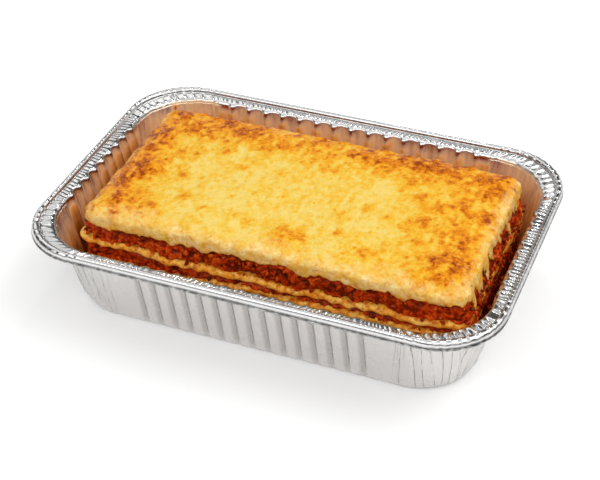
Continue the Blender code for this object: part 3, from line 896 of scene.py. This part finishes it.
def creaminess(points, slab):
    """How pale and unbrowned the cheese is: its sides, and its upper face near the front and right."""
    x, y, z = (points[..., axis] for axis in range(3))
    flat = points * np.array([1.0, 1.0, 0.3])
    wander = layered(flat, 0.0075, 141, 3)
    sides = ease(z, CHEESE_TOP - 0.0012, CHEESE_TOP - 0.003)
    front = ease(y + 0.006 * wander, -0.0375, -0.045)
    right = 0.45 * ease(x + 0.003 * wander, 0.0825, 0.0875)
    left = 0.5 * ease(x + 0.003 * wander, -0.0825, -0.087)
    faces = slab.side(0) + 0.85 * slab.side(1) + 0.35 * slab.side(3)
    front = front * (1 - 0.4 * ease(x, -0.045, -0.07))
    clear = (1 - 0.95 * sides * faces) * (1 - 0.75 * front) * (1 - right) * (1 - left)
    mottle = ease(layered(flat, 0.0042, 143, 3, 0.6), -0.05, 0.6)
    return (1.0 - clear) * (0.97 - 0.7 * mottle)


def build_cheese(slab, edges, material):
    edge = edges["cheese_bottom"]
    low = edge - lip_drop(slab)
    front, right, back, left = (slab.side(quarter) for quarter in range(4))
    wobble = OUTLINE_WOBBLE * layered(slab.outline, 0.016, 65, 2)
    thick = LIP_THICKNESS * (1.0 - 0.5 * right + 0.15 * front) + wobble + LIP_STAND_OFF * right
    uneven = 0.35 * layered(slab.outline, 0.013, 67, 2)
    fall = EDGE_FALL * (1.0 + 0.5 * right + 0.7 * left + 0.4 * back + uneven)

    def fallen(inset):
        return fall * math.exp(-inset / EDGE_EASE)

    shoulder = CHEESE_TOP - 0.0018 - fallen(0.0)
    profile = (
        (LIP_CLEARANCE, edge + LAYER_GAP * 2),
        (LIP_CLEARANCE, low + 0.0002),
        (LIP_CLEARANCE + 0.55 * thick, low - 0.0003),
        (LIP_CLEARANCE + thick, low + 0.0003),
        (LIP_CLEARANCE + thick * 0.95, edge + 0.45 * (shoulder - edge)),
        (LIP_CLEARANCE + thick * 0.72, shoulder),
        (LIP_CLEARANCE + thick * 0.05, CHEESE_TOP - 0.0006 - fallen(0.0)),
        (-0.002, CHEESE_TOP - fallen(0.002)),
    )
    controls = [slab.points(height, push=push) for push, height in profile]
    skirt = catmull_rows(np.array(controls), CHEESE_SIDE_ROWS)
    top_rings = []
    inset = TOP_START_INSET
    while inset < SLAB_WIDTH / 2:
        flat = slab.points(CHEESE_TOP, inset=inset)
        flat[:, 2] = cheese_height(flat[:, 0], flat[:, 1]) - fallen(inset)
        top_rings.append(flat)
        inset += SLAB_STEP
    middle = slab.points(0.0, inset=SLAB_WIDTH / 2)
    middle[:, 2] = cheese_height(middle[:, 0], middle[:, 1])
    top_rings = np.array(top_rings + [middle])
    skirt = blend_into_top(skirt, top_rings[0])
    underside = np.array([
        slab.points(CHEESE_BOTTOM + LAYER_GAP, FLAT_INSET),
        slab.points(edge + LAYER_GAP),
    ])
    rings = np.concatenate([underside, skirt, top_rings])
    top_start = len(underside) + len(skirt)
    edges_down = ease(rings[..., 2], CHEESE_TOP - 0.0012, CHEESE_TOP - 0.004)
    brown = browning(rings) + edges_down * (0.28 * back + 0.15 * left)
    cream = creaminess(rings, slab)
    hem = ease(rings[..., 2], low + 0.0016, low + 0.0002)
    hem = hem * ease(layered(rings, 0.0022, 145, 2), -0.25, 0.45)
    hem[top_start:] = 0.0
    cream = cream * (1.0 - 0.85 * hem)
    brown = np.maximum(brown, 0.72 * hem)
    normals = ring_normals(rings)
    normals[top_start:] = (0.0, 0.0, 1.0)
    rough = layered(rings, 0.003, 111, 3, 0.7)
    lumps = layered(rings, 0.0055, 113, 2)
    strands = layered(rings * np.array([1.0, 1.0, 0.15]), 0.0017, 121, 2)
    amount = rough * (0.00016 + 0.0003 * np.clip(brown - 0.3, 0.0, 1.0))
    amount[3:top_start] += 0.00085 * lumps[3:top_start]
    amount[3:top_start] += strands[3:top_start] * (0.00015 + 0.00075 * right[None, :])
    amount[:3] = 0.0
    rings = rings + normals * amount[..., None]
    values = {"brown": brown, "cream": cream}
    piece = ring_piece("cheese_crust", rings, material, values, close_end=False)
    weld(piece)
    return piece


def blend_into_top(skirt, first_top):
    """Raises the skirt's last rows to meet the uneven upper face."""
    difference = first_top[:, 2] - skirt[-1, :, 2]
    for back, share in enumerate(BLEND_SHARES, 1):
        skirt[-back, :, 2] += difference * share * BLEND_RISE
    return skirt


def weld(piece):
    """Joins points that lie on each other, such as where the rings close on the middle line."""
    builder = bmesh.new()
    builder.from_mesh(piece.data)
    bmesh.ops.remove_doubles(builder, verts=builder.verts, dist=WELD_DISTANCE)
    builder.to_mesh(piece.data)
    builder.free()


# Crumbs of mince: small uneven lumps joined into one mesh

def unit_lump():
    builder = bmesh.new()
    bmesh.ops.create_icosphere(builder, subdivisions=2, radius=1.0)
    points = np.array([vertex.co[:] for vertex in builder.verts])
    faces = np.array([[vertex.index for vertex in face.verts] for face in builder.faces])
    builder.free()
    return points, faces


def build_lumps(name, shapes, faces, tones, material):
    """One mesh of many lumps, each with its own tone."""
    sides = [faces + index * len(shape) for index, shape in enumerate(shapes)]
    tone = np.repeat(tones, len(shapes[0]))
    # a relief of 1 leaves loose lumps without painted shade in hollows
    values = {"tone": tone, "relief": np.ones_like(tone)}
    return make_piece(name, np.concatenate(shapes), np.concatenate(sides).tolist(), material, values)


def build_crumbs(name, places, sizes, seed, material):
    """Lumps of mince, each with its own size, turn and tone."""
    points, faces = unit_lump()
    draw = np.random.RandomState(seed)
    shapes, tones = [], []
    for place, size in zip(places, sizes):
        stretch = draw.uniform(*CRUMB_STRETCH, 3)
        axis = Vector(draw.normal(size=3)).normalized()
        turn = np.array(Matrix.Rotation(draw.uniform(0, 2 * math.pi), 3, axis))
        bumps = 1.0 + 0.55 * value_noise(points + draw.uniform(-50, 50, 3), 0.5, seed)
        shapes.append((points * bumps[:, None] * stretch) @ turn.T * size + place)
        tones.append(draw.uniform(*CRUMB_TONES))
    return build_lumps(name, shapes, faces, tones, material)


def build_spots(material):
    """Spots of sauce splashed on the foil, as flat lumps."""
    points, faces = unit_lump()
    shapes = [points * np.array(radii) * MM + np.array(place) * MM for place, radii in SAUCE_SPOTS]
    return build_lumps("sauce_spots", shapes, faces, [SPOT_TONE] * len(shapes), material)


def crumb_places(slab, edges, crumbs):
    """Places along a sauce layer's side, some of them spilling below it, and sizes."""
    lower, upper, count, seed, spill, out = crumbs
    draw = np.random.RandomState(seed)
    index = draw.randint(0, slab.count, count)
    share = draw.uniform(0.0, 1.0, count) ** 0.85 * (0.8 + spill) - spill
    bottom, top = edges[lower], edges[upper]
    height = bottom[index] + (top - bottom)[index] * share
    push = SAUCE_BASE_PUSH + draw.uniform(0.0, 0.0012, count) + slab.side(1)[index] * slumped(height)
    push = push + out * MM * np.clip(1.0 - share * 2, 0.0, 1.0)
    x_in, y_in = slab.ring()
    x_out, y_out = slab.ring(push=1.0)
    x = x_in[index] + (x_out - x_in)[index] * push
    y = y_in[index] + (y_out - y_in)[index] * push
    sizes = draw.uniform(*CRUMB_RADII, count)
    return np.stack([leaned(x, height), y, height], axis=-1), sizes


# Materials

class Graph:
    """The nodes of a material or of the world, with short ways to add to them."""

    def __init__(self, owner):
        owner.use_nodes = True
        self.nodes = owner.node_tree.nodes
        self.links = owner.node_tree.links

    def feed(self, node, values):
        """Puts numbers, colours or other nodes' outputs into a node's inputs."""
        for name, value in values.items():
            socket = node.inputs[name]
            if isinstance(value, (int, float)):
                socket.default_value = value
            elif isinstance(value, tuple):
                socket.default_value = (*value, 1.0)[:len(socket.default_value)]
            else:
                self.links.new(value, socket)
        return node

    def add(self, kind, values):
        return self.feed(self.nodes.new("ShaderNode" + kind), values)

    def math(self, operation, *values, clamp=False):
        node = self.nodes.new("ShaderNodeMath")
        node.operation = operation
        node.use_clamp = clamp
        return self.feed(node, dict(enumerate(values))).outputs[0]

    def times(self, first, second, clamp=False):
        return self.math("MULTIPLY", first, second, clamp=clamp)

    def line(self, value, slope, start, clamp=False):
        return self.math("MULTIPLY_ADD", value, slope, start, clamp=clamp)

    def noise(self, scale, detail, roughness=0.5, distortion=0.0, place=None):
        return self.add("TexNoise", {
            "Vector": place or self.nodes.new("ShaderNodeTexCoord").outputs["Object"],
            "Scale": scale, "Detail": detail, "Roughness": roughness, "Distortion": distortion,
        }).outputs["Fac"]

    def mix(self, share, first, second):
        node = self.nodes.new("ShaderNodeMix")
        node.data_type = "RGBA"
        return self.feed(node, {0: share, 6: first, 7: second}).outputs[2]

    def ramp(self, share, stops):
        node = self.add("ValToRGB", {"Fac": share})
        elements = node.color_ramp.elements
        while len(elements) < len(stops):
            elements.new(0.5)
        for element, (place, colour) in zip(elements, stops):
            element.position = place
            element.color = (*(colour if isinstance(colour, tuple) else (colour,) * 3), 1.0)
        return node.outputs["Color"]

    def attribute(self, name, output="Fac"):
        node = self.nodes.new("ShaderNodeAttribute")
        node.attribute_name = name
        return node.outputs[output]

    def split(self, vector):
        return self.add("SeparateXYZ", {"Vector": vector}).outputs

    def shade(self, values, height, strength, distance):
        """Sets the shader's inputs, with a height as its bump."""
        bump = self.add("Bump", {"Height": height, "Strength": strength, "Distance": distance})
        self.feed(self.nodes["Principled BSDF"], {**values, "Normal": bump.outputs["Normal"]})


def new_material(name):
    material = bpy.data.materials.new(name)
    return material, Graph(material)


def foil_folds(graph):
    """Folds across the rim as a height, creases down the corners that also carry painted shade, and the
    wall's corners, as shares.
    """
    around, crimp = (graph.split(graph.attribute(name, "Vector")) for name in ("around", "crimp"))
    wander, strength, corner = crimp
    angle = graph.math("ARCTAN2", around["Y"], around["X"])
    turn = graph.line(angle, float(CRIMP_COUNT), graph.times(wander, 2 * math.pi))
    on_rim = graph.times(corner, 2.0, clamp=True)
    on_wall = graph.times(corner, -1.0, clamp=True)
    half = graph.times(graph.math("SINE", graph.times(turn, 0.5)), 2.2)
    side = graph.times(graph.math("SINE", turn), graph.line(on_rim, -0.5, 1.0))
    folds = graph.times(graph.line(half, on_rim, side), strength)
    crease = graph.math("SINE", graph.times(turn, CREASES_PER_CRIMP))
    crease = graph.line(crease, 20.0, -19.0, clamp=True)
    breaks = graph.line(graph.noise(150.0, 3.0), 5.0, -1.7, clamp=True)
    return folds, graph.times(graph.times(crease, breaks), on_wall, clamp=True), on_wall


def foil_relief(graph, shapes, streak):
    """Folds, fine strokes down the walls, most of all in the corners, and small dents, as a height."""
    folds, crease, on_wall = shapes
    streaks = graph.noise(700.0, 3.0, 0.55, 0.0, graph.attribute("around", "Vector"))
    height = graph.line(streaks, graph.line(on_wall, CORNER_STROKES, streak), folds)
    height = graph.line(graph.noise(260.0, 3.0, 0.5, 0.3), streak, height)
    return graph.line(crease, -2.0, height)


def foil_inside_material():
    material, graph = new_material("foil")
    smear = graph.line(graph.noise(130.0, 4.0, 0.6), 1.0, 0.4, clamp=True)
    # sauce on the foil, with painted shade lighter in panel middles and darker towards the grooves
    stain_and_shade = graph.times(graph.attribute("stain_and_shade"), smear, clamp=True)
    # Painted shade: a dark line down each groove
    furrow_shade = graph.times(graph.attribute("seam"), 0.5, clamp=True)
    colour = graph.mix(furrow_shade, graph.ramp(stain_and_shade, FOIL_STAINS), FOIL_FURROW_SHADE_COLOUR)
    graph.shade({
        # grey painted shade on the bead, under it, along its fold and at the rim's inner edge
        "Base Color": graph.mix(graph.attribute("painted_shade"), colour, FOIL_PAINTED_SHADE_COLOUR),
        "Metallic": graph.line(stain_and_shade, -3.5, 1.05, clamp=True),
        "Roughness": graph.line(graph.noise(900.0, 4.0), 0.16, 0.12),
    }, foil_relief(graph, foil_folds(graph), 0.3), 1.0, FOLD_HEIGHT)
    return material


def foil_outside_material():
    material, graph = new_material("foil_outside")
    shapes = foil_folds(graph)
    # Painted shade: darker down each groove
    colour = graph.mix(graph.attribute("groove"), FOIL_OUTSIDE_COLOUR, FOIL_GROOVE_SHADE_COLOUR)
    graph.shade({
        # painted shade along the creases in the corners
        "Base Color": graph.mix(shapes[1], colour, FOIL_CREASE_SHADE_COLOUR),
        "Metallic": 1.0,
        "Roughness": graph.line(graph.noise(90.0, 3.0), 0.12, 0.22),
    }, foil_relief(graph, shapes, 0.08), 1.0, FOLD_HEIGHT)
    return material


def gloss(name):
    return dict(zip(("Roughness", "Specular IOR Level", "Specular Tint"), FOOD_GLOSS[name]))


def softness(radius):
    return {
        "Subsurface Weight": SUBSURFACE_WEIGHT, "Subsurface Radius": radius,
        "Subsurface Scale": SUBSURFACE_SCALE,
    }


def cheese_material():
    material, graph = new_material("cheese")
    specks = graph.noise(800.0, 3.0, 0.6)
    patches = graph.noise(330.0, 4.0, 0.62)
    brown = graph.attribute("brown")
    grain = graph.line(patches, 0.6, graph.line(specks, 0.45, -0.525))
    brown = graph.line(grain, graph.line(brown, 2.0, 0.8), brown)
    cloud = graph.line(graph.noise(260.0, 3.0, 0.55), 3.2, -1.1, clamp=True)
    dot = graph.times(graph.line(graph.noise(620.0, 3.0, 0.5), 7.0, -3.8, clamp=True), 0.8)
    cream = graph.mix(dot, graph.mix(cloud, CREAM_PALE_COLOUR, CREAM_DEEP_COLOUR), CREAM_DOT_COLOUR)
    pale = graph.attribute("cream")
    share = graph.math("ADD", graph.line(patches, -1.4, 0.7), pale, clamp=True)
    share = graph.times(share, graph.times(pale, 6.0, clamp=True))
    graph.shade({
        "Base Color": graph.mix(share, graph.ramp(brown, CHEESE_COLOURS), cream),
        **gloss("cheese"), **softness((1.0, 0.55, 0.2)),
    }, graph.line(specks, 0.5, patches), 1.0, 0.0012)
    return material


def sauce_material():
    material, graph = new_material("meat_sauce")
    fine = graph.noise(700.0, 4.0, 0.6)
    tone = graph.math("ADD", graph.attribute("tone"), graph.line(fine, 1.0, -0.5))
    # Painted shade: darker where the mince's relief is low, in the hollows between lumps
    hollow_shade = graph.line(graph.attribute("relief"), -1.7, 1.0, clamp=True)
    colour = graph.mix(hollow_shade, graph.ramp(tone, SAUCE_COLOURS), SAUCE_HOLLOW_SHADE_COLOUR)
    graph.shade({"Base Color": colour, **gloss("sauce")}, fine, 0.8, 0.0007)
    return material


def pasta_material():
    material, graph = new_material("pasta")
    sheet = graph.ramp(graph.noise(150.0, 4.0, 0.6), PASTA_COLOURS)
    fine = graph.noise(420.0, 4.0, 0.65)
    smear = graph.line(graph.attribute("share_up"), 0.9, graph.line(fine, 5.0, -2.85), clamp=True)
    graph.shade({
        "Base Color": graph.mix(smear, sheet, PASTA_STAIN_COLOUR),
        **gloss("pasta"), **softness((1.0, 0.6, 0.25)),
    }, fine, 0.3, 0.0004)
    return material


def floor_material():
    material, graph = new_material("white_floor")
    graph.feed(graph.nodes["Principled BSDF"], {
        "Base Color": FLOOR_COLOUR, "Roughness": 0.8, "Specular IOR Level": 0.0,
        "Emission Color": (1.0, 1.0, 1.0), "Emission Strength": FLOOR_GLOW,
    })
    return material


# Stage

def add_floor():
    bpy.ops.mesh.primitive_plane_add(size=FLOOR_SIZE, location=(0.0, 0.0, 0.0))
    floor = bpy.context.object
    floor.name = "floor"
    floor.data.materials.append(floor_material())


def add_area_light(name, place, size, power):
    data = bpy.data.lights.new(name, "AREA")
    data.shape = "RECTANGLE"
    data.size, data.size_y = size
    data.energy = power
    light = bpy.data.objects.new(name, data)
    bpy.context.scene.collection.objects.link(light)
    light.location = place
    light.rotation_euler = (Vector(LIGHT_TARGET) - Vector(place)).to_track_quat("-Z", "Y").to_euler()


def add_world():
    """A white studio: a pale horizon, a ring of soft boxes with dark gaps, and one overhead."""
    world = bpy.data.worlds.new("studio")
    bpy.context.scene.world = world
    graph = Graph(world)
    x, y, z = graph.split(graph.nodes.new("ShaderNodeTexCoord").outputs["Generated"])
    turn = graph.line(graph.math("ARCTAN2", y, x), KEY_AZIMUTH_TURNS, -KEY_AZIMUTH_TURNS * KEY_DIRECTION)
    boxes = graph.line(graph.math("COSINE", turn), 2.0, 0.4, clamp=True)
    lit = graph.times(graph.ramp(z, WORLD_BOXES), boxes)
    radiance = graph.line(lit, WORLD_BOX_GLOW, graph.ramp(z, WORLD_GLOW))
    graph.feed(graph.nodes["Background"], {
        "Color": (1.0, 1.0, 1.0), "Strength": graph.times(radiance, WORLD_STRENGTH),
    })


def add_camera():
    data = bpy.data.cameras.new("camera")
    data.lens = CAMERA_LENS
    data.sensor_width = SENSOR_WIDTH
    data.sensor_fit = "HORIZONTAL"
    camera = bpy.data.objects.new("camera", data)
    bpy.context.scene.collection.objects.link(camera)
    camera.matrix_world = (
        Matrix.Translation(CAMERA_TARGET) @ Matrix.Rotation(CAMERA_AZIMUTH, 4, "Z")
        @ Matrix.Rotation(math.pi / 2 - CAMERA_ELEVATION, 4, "X") @ Matrix.Rotation(CAMERA_ROLL, 4, "Z")
        @ Matrix.Translation((0.0, 0.0, CAMERA_DISTANCE))
    )
    bpy.context.scene.camera = camera


# Assembly

def dress(piece, slot, *nodes):
    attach(piece, "root")
    if nodes:
        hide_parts(*nodes)


def set_stage():
    bpy.context.scene.view_settings.view_transform = "Standard"
    add_camera()
    add_world()
    add_floor()
    for light in LIGHTS:
        add_area_light(*light)


def build_meal():
    slab, fine_slab = SlabOutline(SLAB_STEP), SlabOutline(SAUCE_STEP)
    edges, fine_edges = layer_edges(slab), layer_edges(fine_slab)
    dress(build_tray(foil_inside_material(), foil_outside_material()), "foil", "foil_tray")
    dress(build_cheese(slab, edges, cheese_material()), "cheese", "cheese_top")
    sauce = sauce_material()
    for name, node, layer in SAUCE_LAYERS:
        dress(build_sauce(name, fine_slab, fine_edges, layer, sauce), "sauce", node)
    dress(build_spots(sauce), "sauce")
    pasta = pasta_material()
    for name, node, layer in PASTA_LAYERS:
        dress(build_pasta(name, slab, edges, layer, pasta), "pasta", node)
    for name, crumbs in CRUMBS:
        places, sizes = crumb_places(slab, edges, crumbs)
        dress(build_crumbs(name, places, sizes, crumbs[3], sauce), "sauce")


set_stage()
build_meal()
